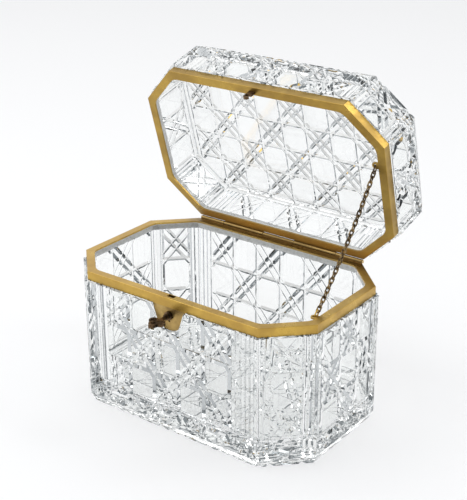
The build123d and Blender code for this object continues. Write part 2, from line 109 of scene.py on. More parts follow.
# The stage, in metres.
MAIN_LIGHT = ((-0.7, -0.5, 1.3), (0, 0, 0.08), (0.9, 0.9))       # place, target and size
BACK_LIGHT = ((0.79, 0.57, 1.1), (0, 0, 0.14), (0.35, 0.35))     # place, target and size
FLOOR_HALF = 6.0                # half the floor's side
FLOOR_SHADE = 0.985             # the floor's darker parts against its paler ones
SENSOR_WIDTH = 36.0             # millimetres
NEAREST = 0.01                  # what is closer to the camera isn't drawn
PALE = (1.0, 1.0, 1.0)
ROOM_TONE = (0.38, 0.41, 0.44)  # tone of the dimmer room that the casket faces
ROOM_SIDE = (0.6, -0.8, 0.0)    # direction in which that room lies

# Light by height, from straight down to straight up, and share of the pale light from behind
# the casket to the middle of the dimmer room.
RISE_STOPS = ((0.0, 0.6), (0.5, 0.75), (0.62, 1.1), (0.8, 1.2), (0.9, 1.25), (1.0, 1.25))
ROOM_STOPS = ((0.0, 1.0), (0.45, 1.0), (0.62, 0.65), (0.8, 0.35), (1.0, 0.2))


# ---------------------------------------------------------------- sizes and colours

def length(name, description, millimetres):
    """A length that is shown in the scene's units."""
    return FloatProperty(name=name, description=description, default=millimetres * MM,
                         unit="LENGTH", precision=5)


def colour(name, description, value):
    """A colour of a finish."""
    return FloatVectorProperty(name=name, description=description, default=value,
                               subtype="COLOR", size=3, min=0.0, max=1.0)


def factor(name, description, value, top=1.0):
    """A share or a strength."""
    return FloatProperty(name=name, description=description, default=value, min=0.0, max=top)


class CutSizes(PropertyGroup):
    """Sizes of the grooves that are cut into the glass."""

    column: length("Column width", "Width of one cell of the cut pattern", 17.3)
    row: length("Row height", "Height of one cell of the cut pattern", 20.9)
    roof_column: length("Roof column", "Width of one cell on top of the lid", 16.7)
    roof_row: length("Roof row", "Depth of one cell on top of the lid", 17.86)
    roof_x: length("Roof cell X", "Middle of the middle cell on top of the lid", 1.5)
    roof_y: length("Roof cell Y", "Middle of the middle cell on top of the lid", -0.6)
    line_width: length("Straight cut", "Half width of an upright or level groove", 1.35)
    line_depth: length("Straight depth", "Depth of an upright or level groove", 1.3)
    slant_width: length("Slanted cut", "Half width of a slanted groove", 1.15)
    slant_depth: length("Slanted depth", "Depth of a slanted groove", 1.1)
    slant_spread: length("Slanted pair", "Half the distance between two slanted grooves", 2.2)
    flute_pitch: length("Flute pitch", "Distance between the flutes beside a corner", 2.9)
    flute_depth: length("Flute depth", "Depth of a flute", 0.9)
    end_margin: length("Lower margin", "Plain band above the sloping lower edge", 3.6)
    end_ramp: length("Run-out", "Length over which a groove runs out", 2.4)
    front_shift: length("Front shift", "First upright groove right of the middle, front", 7.2)
    back_shift: length("Back shift", "First upright groove right of the middle, back", 3.8)


class GlassFinish(PropertyGroup):
    """Look of the cut glass."""

    tint: colour("Tint", "Colour of the glass", (0.985, 0.995, 0.99))
    index: FloatProperty(name="Refraction", description="Index of refraction", default=1.53)
    clearness: factor("Clearness", "Share of the light that one surface lets through", 0.95)
    smudge: factor("Smudges", "Roughness of the faint smudges", 0.004)
    ripple: factor("Ripple", "Strength of the unevenness left by polishing", 0.03)


class MetalFinish(PropertyGroup):
    """Colours of the metal parts."""

    gilt: colour("Gilt", "Clean gilding on brass", (0.66, 0.43, 0.085))
    gilt_dull: colour("Dull gilt", "Gilding that has dulled", (0.44, 0.265, 0.06))
    # Painted shade: the lid's collar gets the base's gilt made darker, for the dimmer light on the
    # raised lid.
    shaded_lid_gilt: colour("Shaded lid gilt", "Gilding of the lid's collar", (0.50, 0.325, 0.065))
    shaded_lid_gilt_dull: colour("Dull shaded lid gilt", "Dulled gilding of the lid's collar",
                          (0.34, 0.21, 0.045))
    # Painted shade: the colour that the metal takes round the hinge's axis, where the lid and the
    # base meet.
    hinge_shade: colour("Hinge Shade", "Metal under the grime round the hinge", (0.28, 0.19, 0.075))
    # Painted shade: the hinge and the shield plate get a darker copy of the collars' gilt.
    shaded_gilt: colour("Shaded gilt", "Gilding of the hinge and the shield plate", (0.52, 0.36, 0.13))
    shaded_gilt_dull: colour("Dull shaded gilt", "The same where it has dulled", (0.27, 0.17, 0.06))
    brass: colour("Brass", "Plain brass", (0.66, 0.48, 0.22))
    brass_dull: colour("Dull brass", "Plain brass that has dulled", (0.36, 0.25, 0.12))
    bronze: colour("Bronze", "Bronze where it is rubbed", (0.24, 0.15, 0.08))
    bronze_dull: colour("Dark bronze", "Bronze where it is dark", (0.045, 0.028, 0.016))
    chain: colour("Chain", "Links where they are rubbed", (0.44, 0.30, 0.13))
    lacquer: factor("Lacquer", "Clear lacquer on the gilt collars", 0.25)
    steel: colour("Steel", "Blued steel strip", (0.40, 0.41, 0.45))


class StageSizes(PropertyGroup):
    """Camera, floor and light of the picture."""

    azimuth: FloatProperty(name="Azimuth", description="Camera's place round the casket, degrees",
                           default=37.1)
    elevation: FloatProperty(name="Elevation", description="Camera's height angle, degrees",
                             default=23.3)
    roll: FloatProperty(name="Roll", description="Camera's tilt, degrees", default=-0.2)
    lens: FloatProperty(name="Lens", description="Focal length for a long side of 36 mm",
                        default=82.2)
    camera_x: length("Camera X", "Camera's place", 354.4)
    camera_y: length("Camera Y", "Camera's place", -461.3)
    camera_z: length("Camera Z", "Camera's place", 343.0)
    floor_gap: length("Floor gap", "Air between the glass and the floor", 0.1)
    floor_colour: colour("Floor", "Colour of the floor", (0.93, 0.93, 0.935))
    sky: factor("Sky", "Strength of the light from all round", 0.84, 10.0)
    back_light: factor("Back light", "Power of the light behind to the right, watts", 2.0, 1000.0)
    key_light: factor("Main light", "Power of the large soft light, watts", 5.5, 1000.0)


# ---------------------------------------------------------------- shader helpers

def node(tree, kind, place, **values):
    """One shader node with its settings and unlinked inputs."""
    made = tree.nodes.new(kind)
    made.location = place
    for key, value in values.items():
        if key in made.inputs:
            made.inputs[key].default_value = value
        else:
            setattr(made, key, value)
    return made


def feed(tree, value, socket):
    """Links a socket to a value from a node, or sets a constant on it."""
    if isinstance(value, bpy.types.NodeSocket):
        tree.links.new(value, socket)
    else:
        socket.default_value = value


def maths(tree, operation, place, *values, **settings):
    """The result of a Math node on links and constants."""
    made = node(tree, "ShaderNodeMath", place, operation=operation, **settings)
    for value, socket in zip(values, made.inputs):
        feed(tree, value, socket)
    return made.outputs[0]


def vector_maths(tree, operation, place, *values):
    """A Vector Math node on links and constants."""
    made = node(tree, "ShaderNodeVectorMath", place, operation=operation)
    for value, socket in zip(values, made.inputs):
        feed(tree, value, socket)
    return made


def noise(tree, where, place, **values):
    """Noise at a place of the piece, as a number."""
    made = node(tree, "ShaderNodeTexNoise", place)
    for key, value in (("Vector", where), *values.items()):
        feed(tree, value, made.inputs[key])
    return made.outputs["Fac"]


def relief(tree, shader, height, strength, distance):
    """Lets a height tilt the shader's normal."""
    made = node(tree, "ShaderNodeBump", (0, -250), Strength=strength, Distance=distance)
    tree.links.new(height, made.inputs["Height"])
    tree.links.new(made.outputs["Normal"], shader.inputs["Normal"])


def ramp(tree, source, place, stops):
    """A colour ramp with grey stops, given as (place, value)."""
    made = tree.nodes.new("ShaderNodeValToRGB")
    made.location = place
    elements = made.color_ramp.elements
    while len(elements) > 1:
        elements.remove(elements[-1])
    for index, (where, value) in enumerate(stops):
        element = elements[0] if index == 0 else elements.new(where)
        element.position = where
        element.color = (value, value, value, 1.0)
    tree.links.new(source, made.inputs[0])
    return made.outputs["Color"]


def mix_colour(tree, share, first, second, place, blend="MIX"):
    """A colour made from two others, which are links or (r, g, b)."""
    made = node(tree, "ShaderNodeMix", place, data_type="RGBA", blend_type=blend)
    feed(tree, share, made.inputs["Factor"])
    for socket, value in ((made.inputs[6], first), (made.inputs[7], second)):
        linked = isinstance(value, bpy.types.NodeSocket)
        feed(tree, value if linked else (*value, 1.0), socket)
    return made.outputs[2]


def between(tree, share, low, high, place, start=0.0, end=1.0):
    """A number that goes from low to high while share goes from start to end."""
    made = node(tree, "ShaderNodeMapRange", place)
    for key, value in (("Value", share), ("From Min", start), ("From Max", end),
                       ("To Min", low), ("To Max", high)):
        feed(tree, value, made.inputs[key])
    return made.outputs["Result"]


def handled_metal():
    """Node group: rubbed and dulled metal with fine brushing, tiny pits and dark specks, and a
    painted shade mixed in by a given share.
    """
    group = bpy.data.node_groups.new("handled_metal", "ShaderNodeTree")
    face = group.interface
    face.new_socket("Vector", in_out="INPUT", socket_type="NodeSocketVector")
    for name in ("Clean", "Dull", "Hinge Shade Color"):
        face.new_socket(name, in_out="INPUT", socket_type="NodeSocketColor")
    for name, value in (("Dull Share", 0.5), ("Smooth", 0.2), ("Rough", 0.45),
                        ("Cloud Scale", 60.0), ("Speck Scale", 900.0), ("Brush Scale", 2600.0),
                        ("Hinge Shade", 0.0)):
        made = face.new_socket(name, in_out="INPUT", socket_type="NodeSocketFloat")
        made.default_value = value
    face.new_socket("Color", in_out="OUTPUT", socket_type="NodeSocketColor")
    face.new_socket("Roughness", in_out="OUTPUT", socket_type="NodeSocketFloat")
    face.new_socket("Height", in_out="OUTPUT", socket_type="NodeSocketFloat")
    given = node(group, "NodeGroupInput", (-1200, 0)).outputs
    end = node(group, "NodeGroupOutput", (900, 0))

    cloud = noise(group, given["Vector"], (-950, 300), Scale=given["Cloud Scale"], Detail=5.0,
                  Roughness=0.62)
    clouds = ramp(group, cloud, (-750, 300), CLOUD_STOPS)
    speck = noise(group, given["Vector"], (-950, 50), Scale=given["Speck Scale"], Detail=2.0,
                  Roughness=0.5)
    specks = ramp(group, speck, (-750, 50), SPECK_STOPS)
    stretch = node(group, "ShaderNodeMapping", (-1000, -250), vector_type="POINT",
                   Scale=BRUSH_STRETCH)
    group.links.new(given["Vector"], stretch.inputs["Vector"])
    brush = noise(group, stretch.outputs["Vector"], (-750, -250), Scale=given["Brush Scale"],
                  Detail=3.0, Roughness=0.7)

    dulled = maths(group, "MULTIPLY", (-450, 300), clouds, given["Dull Share"])
    brushed = maths(group, "MULTIPLY_ADD", (-450, 100), brush, BRUSH_SHARE, dulled)
    spotted = maths(group, "MULTIPLY", (-450, -80), specks, SPECK_SHARE)
    shade = maths(group, "MAXIMUM", (-250, 200), brushed, spotted, use_clamp=True)
    tone = mix_colour(group, shade, given["Clean"], given["Dull"], (0, 200))
    # Painted shade: mixes the shade colour in by its share.
    shaded = mix_colour(group, given["Hinge Shade"], tone, given["Hinge Shade Color"], (250, 200))
    roughness = between(group, shade, given["Smooth"], given["Rough"], (0, -50))
    height = maths(group, "MULTIPLY_ADD", (0, -300), specks, PIT, brush)
    for value, name in ((shaded, "Color"), (roughness, "Roughness"), (height, "Height")):
        group.links.new(value, end.inputs[name])
    return group


def empty_material(name):
    """A material with a Principled shader; returns it, its tree and the shader."""
    made = bpy.data.materials.new(name)
    made.use_nodes = True
    tree = made.node_tree
    tree.nodes.clear()
    out = node(tree, "ShaderNodeOutputMaterial", (600, 0))
    shader = node(tree, "ShaderNodeBsdfPrincipled", (300, 0))
    tree.links.new(shader.outputs[0], out.inputs["Surface"])
    return made, tree, shader


def place_vector(tree, turn=(0.0, 0.0, 0.0)):
    """Object coordinates, turned so that Z is across the brushing."""
    source = node(tree, "ShaderNodeTexCoord", (-900, 0))
    turned = node(tree, "ShaderNodeMapping", (-700, 0), Rotation=turn)
    tree.links.new(source.outputs["Object"], turned.inputs["Vector"])
    return turned.outputs["Vector"]


def painted_hinge_shade(tree):
    """How much painted shade lies on a place, by its distance from the hinge's axis."""
    where = node(tree, "ShaderNodeTexCoord", (-1300, -400)).outputs["Object"]
    away = vector_maths(tree, "SUBTRACT", (-1100, -400), where, Vector(LID_HINGE["pos_m"]))
    beside = vector_maths(tree, "MULTIPLY", (-900, -400), away.outputs["Vector"],
                          (0.0, 1.0, 1.0))
    distance = vector_maths(tree, "LENGTH", (-700, -400), beside.outputs["Vector"])
    return between(tree, distance.outputs["Value"], HINGE_SHADE_SHARE, 0.0, (-550, -400),
                   start=HINGE_SHADE_FROM, end=HINGE_SHADE_TO)


def metal(name, clean, dull, turn=(0.0, 0.0, 0.0), bump=0.12, hinge_shade=None, lacquer=0.0, **values):
    """A metal finish made from the handled metal group, with painted shade round the hinge if a
    shade colour is given.
    """
    group = bpy.data.node_groups.get("handled_metal") or handled_metal()
    made, tree, shader = empty_material(name)
    work = node(tree, "ShaderNodeGroup", (-400, 0), node_tree=group)
    work.inputs["Clean"].default_value = (*clean, 1.0)
    work.inputs["Dull"].default_value = (*dull, 1.0)
    for key, value in values.items():
        work.inputs[key.replace("_", " ").title()].default_value = value
    # Painted shade round the hinge's axis.
    if hinge_shade is not None:
        work.inputs["Hinge Shade Color"].default_value = (*hinge_shade, 1.0)
        tree.links.new(painted_hinge_shade(tree), work.inputs["Hinge Shade"])
    tree.links.new(place_vector(tree, turn), work.inputs["Vector"])
    tree.links.new(work.outputs["Color"], shader.inputs["Base Color"])
    tree.links.new(work.outputs["Roughness"], shader.inputs["Roughness"])
    shader.inputs["Metallic"].default_value = 1.0
    shader.inputs["Coat Weight"].default_value = lacquer
    shader.inputs["Coat Roughness"].default_value = LACQUER_ROUGHNESS
    relief(tree, shader, work.outputs["Height"], strength=bump, distance=METAL_RELIEF)
    return made


def finish_nodes(material, *names):
    """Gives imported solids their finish."""
    for name in names:
        slots = NODES[name].data.materials
        slots.clear()
        slots.append(material)


# ---------------------------------------------------------------- cutting the glass

class Cut:
    """One V-shaped groove on a wall: a line through (u, v) along (du, dv)."""

    def __init__(self, point, direction, half_width, depth, everywhere=False):
        self.point = Vector(point)
        along = Vector(direction).normalized()
        self.normal = Vector((-along.y, along.x))
        self.half_width = half_width
        self.depth = depth
        self.everywhere = everywhere    # also outside the wall's field, up to its corners

    def depth_at(self, spot):
        """Depth of this groove at a spot on its wall."""
        distance = abs((spot - self.point).dot(self.normal))
        return self.depth * max(0.0, 1.0 - distance / self.half_width)


class Wall:
    """An outer wall of a glass body with the grooves that are cut into it."""

    def __init__(self, bm, layer, index, normal):
        self.bm = bm
        self.normal = Vector(normal).normalized()
        self.up = Vector((0, 1, 0) if index == LEVEL_FACE else (0, 0, 1))
        self.across = self.up.cross(self.normal).normalized()
        faces = [f for f in bm.faces if f.normal.dot(self.normal) > SAME_WAY]
        self.offset = max(f.verts[0].co.dot(self.normal) for f in faces)
        for face in faces:
            if abs(face.verts[0].co.dot(self.normal) - self.offset) < SAME_PLANE:
                face[layer] = index
        self.layer = layer
        self.index = index
        spots = [self.flat(v.co) for f in self.faces() for v in f.verts]
        self.low = Vector((min(s.x for s in spots), min(s.y for s in spots)))
        self.high = Vector((max(s.x for s in spots), max(s.y for s in spots)))
        self.middle = (self.low.x + self.high.x) / 2
        self.field = (self.low.x, self.high.x)    # where level and slanted grooves lie
        self.floor = None                         # height under which nothing is cut
        self.ramp = 1.0                           # height over which the grooves run out there
        self.cuts = []

    def faces(self):
        """The faces that the wall has by now."""
        return [f for f in self.bm.faces if f[self.layer] == self.index]

    def flat(self, co):
        """The spot on the wall of a point in space."""
        return Vector((co.dot(self.across), co.dot(self.up)))

    def world(self, spot):
        """The point in space of a spot on the uncut wall."""
        return self.across * spot.x + self.up * spot.y + self.normal * self.offset

    def inside(self, u):
        """Whether a place along the wall lies in its field."""
        return self.field[0] - SAME_POINT <= u <= self.field[1] + SAME_POINT

    def depth_at(self, spot):
        """Depth of the deepest groove at a spot."""
        inside = self.inside(spot.x)
        deepest = max((c.depth_at(spot) for c in self.cuts if c.everywhere or inside), default=0.0)
        if self.floor is not None:
            deepest *= min(1.0, max(0.0, (spot.y - self.floor) / self.ramp))
        return deepest

    def bisect(self, point, normal, everywhere):
        """Cuts the wall's faces along a line."""
        faces = self.faces()
        if not everywhere:
            faces = [f for f in faces if self.inside(self.flat(f.calc_center_median()).x)]
        edges = {e for f in faces for e in f.edges}
        verts = {v for f in faces for v in f.verts}
        bmesh.ops.bisect_plane(
            self.bm, geom=[*faces, *edges, *verts], dist=ON_PLANE,
            plane_co=self.world(point), plane_no=self.across * normal.x + self.up * normal.y)

    def carve(self):
        """Cuts all grooves: first their edges, then their depth."""
        for cut in self.cuts:
            for side in (-1, 0, 1):
                self.bisect(cut.point + cut.normal * cut.half_width * side, cut.normal,
                            cut.everywhere)
        if self.floor is not None:
            for height in (self.floor, self.floor + self.ramp):
                self.bisect(Vector((0, height)), Vector((0, 1)), True)
        depths = {}
        for face in self.faces():
            for vert in face.verts:
                if vert not in depths:
                    depths[vert] = self.depth_at(self.flat(vert.co))
        for face in self.faces():
            self.split(face, depths)
        for vert, depth in depths.items():
            vert.co -= self.normal * depth

    def split(self, face, depths):
        """Cuts a face into triangles along the diagonals that follow the groove's slopes best."""
        waiting = [face]
        while waiting:
            face = waiting.pop()
            verts = list(face.verts)
            count = len(verts)
            if count < 4 or all(depths[v] < UNCUT for v in verts):
                continue
            best = None
            for i in range(count):
                for j in range(i + 2, count if i else count - 1):
                    one, two = verts[i], verts[j]
                    middle = self.flat((one.co + two.co) / 2)
                    miss = abs(self.depth_at(middle) - (depths[one] + depths[two]) / 2)
                    rank = (round(miss, MISS_DIGITS), (one.co - two.co).length)
                    if best is None or rank < best[0]:
                        best = (rank, one, two)
            made, _ = bmesh.utils.face_split(face, best[1], best[2])
            if made is not None:
                waiting += [face, made]


def slanted_cuts(sizes, centre, column, row):
    """Pairs of slanted grooves that cross in the middle of every second cell."""
    cuts = []
    for step in range(-REACH, REACH + 1):
        middle = Vector(centre) + Vector((2 * column * step, 0))
        for lean in (1, -1):
            along = Vector((column, lean * row)).normalized()
            aside = Vector((-along.y, along.x)) * sizes.slant_spread
            for side in (-1, 1):
                cuts.append(Cut(middle + aside * side, along, sizes.slant_width,
                                sizes.slant_depth))
    return cuts


def fill_wall(wall, sizes, first, column, row=0.0, rows=0, flutes=True):
    """Lays upright grooves, flutes and level grooves on a wall. first is an upright groove."""
    margin = EDGE_ROOM * sizes.line_width
    lowest = math.ceil((wall.low.x + margin - first) / column)
    highest = math.floor((wall.high.x - margin - first) / column)
    lines = [first + column * k for k in range(lowest, highest + 1)]
    wall.field = (lines[0], lines[-1])
    for u in lines:
        wall.cuts.append(Cut((u, 0), (0, 1), sizes.line_width, sizes.line_depth, True))
    sides = ((lines[0], wall.low.x, -1), (lines[-1], wall.high.x, 1)) if flutes else ()
    for edge, corner, way in sides:
        room = abs(corner - edge) - sizes.line_width
        for k in range(int(room / sizes.flute_pitch)):
            u = edge + way * (sizes.line_width + sizes.flute_pitch * (k + 0.5))
            wall.cuts.append(Cut((u, 0), (0, 1), sizes.flute_pitch / 2, sizes.flute_depth, True))
    for k in range(1, rows + 1):
        level = wall.high.y - row * k
        wall.cuts.append(Cut((0, level), (1, 0), sizes.line_width, sizes.line_depth))


def cut_level_face(wall, sizes, middle):
    """Cuts the cell pattern into a level face. middle is the middle of an uncrossed cell."""
    column, row = sizes.roof_column, sizes.roof_row
    fill_wall(wall, sizes, middle.x + column / 2, column, flutes=False)
    first = math.ceil((wall.low.y + sizes.line_width - middle.y) / row - 0.5)
    last = math.floor((wall.high.y - sizes.line_width - middle.y) / row - 0.5)
    for k in range(first, last + 1):
        level = middle.y + row * (k + 0.5)
        wall.cuts.append(Cut((0, level), (1, 0), sizes.line_width, sizes.line_depth))
    wall.cuts += slanted_cuts(sizes, (middle.x + column, middle.y), column, row)
    wall.carve()


def glass_copy(name, turn=None):
    """A merged copy of a packed glass body as a bmesh, which a turn can put in another place."""
    bm = bmesh.new()
    bm.from_mesh(NODES[name].data)
    bmesh.ops.remove_doubles(bm, verts=bm.verts, dist=SAME_POINT)
    if turn is not None:
        bmesh.ops.transform(bm, matrix=turn, verts=bm.verts)
    bmesh.ops.dissolve_limit(bm, angle_limit=FLAT_ANGLE, verts=bm.verts, edges=bm.edges)
    bm.normal_update()
    for face in bm.faces:
        face.smooth = False
    return bm


def outer_normals():
    """The directions in which the walls face, counted round from the front."""
    turns = [math.radians(360 / WALLS * k) for k in range(WALLS)]
    return [Vector((math.sin(turn), -math.cos(turn), 0)) for turn in turns]


def glass_piece(bm, name, node_name, body, material):
    """Ends the cutting and hangs the new glass on its body."""
    mesh = bpy.data.meshes.new(name)
    bm.to_mesh(mesh)
    bm.free()
    if "custom_normal" in mesh.attributes:
        mesh.attributes.remove(mesh.attributes["custom_normal"])
    made = bpy.data.objects.new(name, mesh)
    bpy.context.scene.collection.objects.link(made)
    mesh.materials.append(material)
    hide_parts(node_name)
    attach(made, body)


def lid_turn():
    """The turn that shuts the lid, as a matrix."""
    centre = Matrix.Translation(Vector(LID_HINGE["pos_m"]))
    turn = Matrix.Rotation(math.radians(LID_HINGE["range_deg"][1]), 4, Vector(LID_HINGE["axis"]))
    return centre @ turn @ centre.inverted()


def cut_glass():
    """Clear glass with faint smudges and the slight unevenness of polished cuts."""
    made = bpy.data.materials.get("polished_crystal")
    if made:
        return made
    look = bpy.context.scene.casket_glass
    made, tree, shader = empty_material("polished_crystal")
    where = place_vector(tree)
    smudges = ramp(tree, noise(tree, where, (-450, 150), Scale=45.0, Detail=4.0), (-250, 150),
                   ((SMUDGE_FROM, 0.0), (SMUDGE_FULL, look.smudge)))
    tree.links.new(smudges, shader.inputs["Roughness"])
    ripple = noise(tree, where, (-450, -200), Scale=160.0, Detail=1.0)
    relief(tree, shader, ripple, strength=look.ripple, distance=GLASS_RELIEF)
    shader.inputs["Base Color"].default_value = (*look.tint, 1.0)
    shader.inputs["Transmission Weight"].default_value = 1.0
    shader.inputs["Metallic"].default_value = 0.0
    shader.inputs["IOR"].default_value = look.index
    let_light_through(tree, shader, look.clearness)
    return made


def let_light_through(tree, shader, clearness):
    """Lets light on matt surfaces, and rays that are caught inside, pass straight on."""
    path = node(tree, "ShaderNodeLightPath", (-100, 500)).outputs
    light = maths(tree, "MAXIMUM", (200, 500), path["Is Shadow Ray"], path["Is Diffuse Ray"])
    turned = maths(tree, "GREATER_THAN", (-100, 700), path["Ray Depth"], MOST_TURNS)
    mirrored = maths(tree, "GREATER_THAN", (-100, 900), path["Glossy Depth"], MOST_MIRRORS)
    caught = maths(tree, "MAXIMUM", (50, 800), turned, mirrored)
    either = maths(tree, "MAXIMUM", (330, 600), light, caught)
    shade = mix_colour(tree, caught, (clearness,) * 3, CAUGHT_SHADE, (130, 700))
    clear = node(tree, "ShaderNodeBsdfTransparent", (300, 250))
    tree.links.new(shade, clear.inputs["Color"])
    choice = node(tree, "ShaderNodeMixShader", (480, 100))
    for value, socket in zip((either, shader.outputs[0], clear.outputs[0]), choice.inputs):
        tree.links.new(value, socket)
    end = next(n for n in tree.nodes if n.bl_idname == "ShaderNodeOutputMaterial")
    end.location = (700, 0)
    tree.links.new(choice.outputs[0], end.inputs["Surface"])


class CASKET_OT_glass_base(Operator):
    """Cut the glass base: eight fluted walls with crossed grooves"""

    bl_idname = "casket.glass_base"
    bl_label = "Cut glass base"

    def execute(self, context):
        sizes = context.scene.casket_cuts
        bm = glass_copy("glass_base")
        layer = bm.faces.layers.int.new("wall")
        for index, normal in enumerate(outer_normals(), start=1):
            wall = Wall(bm, layer, index, normal)
            wall.floor = wall.low.y + sizes.end_margin
            wall.ramp = sizes.end_ramp
            first, across = wall.middle + sizes.column / 2, wall.middle
            if index == FRONT:
                first = sizes.front_shift
                across = first + 1.5 * sizes.column
            elif index == BACK:
                first = -sizes.back_shift
                across = first + 0.5 * sizes.column
            fill_wall(wall, sizes, first, sizes.column, sizes.row, BASE_ROWS)
            wall.cuts += slanted_cuts(sizes, (across, wall.high.y - sizes.row / 2),
                                      sizes.column, sizes.row)
            wall.carve()
        cut_level_face(Wall(bm, layer, LEVEL_FACE, (0, 0, -1)), sizes, Vector((0, 0)))
        glass_piece(bm, "cut_glass_base", "glass_base", "base", cut_glass())
        return {"FINISHED"}


class CASKET_OT_glass_lid(Operator):
    """Cut the glass lid: its sides and its top"""

    bl_idname = "casket.glass_lid"
    bl_label = "Cut glass lid"

    def execute(self, context):
        sizes = context.scene.casket_cuts
        shut = lid_turn()
        bm = glass_copy("glass_lid", shut)
        layer = bm.faces.layers.int.new("wall")
        for index, normal in enumerate(outer_normals(), start=1):
            wall = Wall(bm, layer, index, normal)
            fill_wall(wall, sizes, wall.middle + sizes.column / 2, sizes.column)
            wall.cuts += slanted_cuts(sizes, (wall.middle, (wall.low.y + wall.high.y) / 2),
                                      sizes.column, sizes.row)
            wall.carve()
        roof = Wall(bm, layer, LEVEL_FACE, (0, 0, 1))
        cut_level_face(roof, sizes, Vector((sizes.roof_x, sizes.roof_y)))
        bmesh.ops.transform(bm, matrix=shut.inverted(), verts=bm.verts)
        glass_piece(bm, "cut_glass_lid", "glass_lid", "lid", cut_glass())
        return {"FINISHED"}


# ---------------------------------------------------------------- metal parts

class CASKET_OT_collars(Operator):
    """Gild the two collars and their hinge leaves"""

    bl_idname = "casket.collars"
    bl_label = "Gilt collars"

    def execute(self, context):
        look = context.scene.casket_metal
        lean = math.radians(LID_HINGE["range_deg"][1])
        # Both collars and the hinge leaves get painted shade round the hinge's axis.
        level = metal("gilt_base", look.gilt, look.gilt_dull, hinge_shade=look.hinge_shade,
                      lacquer=look.lacquer, dull_share=0.6, smooth=0.22, rough=0.42)
        # Painted shade: the raised lid gets a darker copy of the base's gilt.
        shaded_lid = metal("shaded_gilt_lid", look.shaded_lid_gilt, look.shaded_lid_gilt_dull, turn=(lean, 0.0, 0.0),
                       hinge_shade=look.hinge_shade, lacquer=look.lacquer, dull_share=0.7, smooth=0.22,
                       rough=0.42)
        # Painted shade: the hinge leaves get the darker copy of the gilt.
        hinge = metal("shaded_gilt_hinge", look.shaded_gilt, look.shaded_gilt_dull, turn=(0, math.pi / 2, 0),
                      hinge_shade=look.hinge_shade, dull_share=0.8, smooth=0.28, rough=0.5,
                      cloud_scale=110.0)
        finish_nodes(level, "base_collar", "base_chain_lug")
        finish_nodes(shaded_lid, "lid_collar", "lid_chain_lug")
        finish_nodes(hinge, "base_hinge_leaf", "lid_hinge_leaf")
        return {"FINISHED"}


class CASKET_OT_hinge_pin(Operator):
    """Finish the hinge pin"""

    bl_idname = "casket.hinge_pin"
    bl_label = "Hinge pin"

    def execute(self, context):
        look = context.scene.casket_metal
        finish_nodes(metal("pin_brass", look.brass, look.brass_dull, turn=(0, math.pi / 2, 0),
                           smooth=0.25, rough=0.5), "hinge_pin")
        return {"FINISHED"}


class CASKET_OT_lock(Operator):
    """Finish the lock: its shield plate, case, cover, screws, pins, spring and bolt"""

    bl_idname = "casket.lock"
    bl_label = "Lock"

    def execute(self, context):
        look = context.scene.casket_metal
        # Painted shade: the shield plate gets the darker copy of the gilt.
        finish_nodes(metal("shaded_gilt_plate", look.shaded_gilt, look.shaded_gilt_dull, dull_share=0.7,
                           smooth=0.25, rough=0.45, cloud_scale=140.0), "lock_plate")
        finish_nodes(metal("lock_brass", look.brass, look.brass_dull, smooth=0.3, rough=0.55),
                     "lock_case", "lock_cover", "lock_cover_screws", "key_pin", "lock_bolt")
        finish_nodes(metal("blued_spring", look.steel, SPRING_DULL, smooth=0.25, rough=0.4),
                     "bolt_spring")
        return {"FINISHED"}


class CASKET_OT_key(Operator):
    """Darken the key and the lid's catch"""

    bl_idname = "casket.key"
    bl_label = "Key and catch"

    def execute(self, context):
        look = context.scene.casket_metal
        finish_nodes(metal("dark_key", look.bronze, look.bronze_dull, dull_share=0.9, smooth=0.3,
                           rough=0.55, cloud_scale=220.0), "key", "lid_catch")
        return {"FINISHED"}


class CASKET_OT_chain(Operator):
    """Darken the chain's links and rings"""

    bl_idname = "casket.chain"
    bl_label = "Chain"

    def execute(self, context):
        look = context.scene.casket_metal
        links = [name for name in NODES if name.startswith("chain_link_")]
        finish_nodes(metal("dark_chain", look.chain, look.bronze_dull, dull_share=1.0, smooth=0.2,
                           rough=0.5, cloud_scale=500.0), *links, "lid_chain_ring")
        finish_nodes(metal("gilt_ring", look.gilt, look.gilt_dull, smooth=0.25, rough=0.45),
                     "base_chain_ring")
        return {"FINISHED"}


class CASKET_OT_cement(Operator):
    """Finish the cement between glass and metal"""

    bl_idname = "casket.cement"
    bl_label = "Cement"

    def execute(self, context):
        made, tree, shader = empty_material("grey_cement")
        grain = noise(tree, place_vector(tree), (-450, 100), Scale=900.0, Detail=5.0)
        shade = ramp(tree, grain, (-250, 100), CEMENT_STOPS)
        tone = mix_colour(tree, shade, CEMENT_DARK, CEMENT_PALE, (0, 100))
        tree.links.new(tone, shader.inputs["Base Color"])
        shader.inputs["Roughness"].default_value = 0.9
        relief(tree, shader, grain, strength=0.4, distance=CEMENT_RELIEF)
        finish_nodes(made, "base_cement", "lid_cement")
        return {"FINISHED"}


# ---------------------------------------------------------------- stage

def floor_material(tone):
    """Pale floor with a faint unevenness."""
    made, tree, shader = empty_material("pale_floor")
    cloud = noise(tree, place_vector(tree), (-450, 100), Scale=3.0, Detail=2.0)
    darker = tuple(c * FLOOR_SHADE for c in tone)
    tree.links.new(mix_colour(tree, cloud, darker, tone, (0, 100)), shader.inputs["Base Color"])
    shader.inputs["Roughness"].default_value = 0.6
    return made


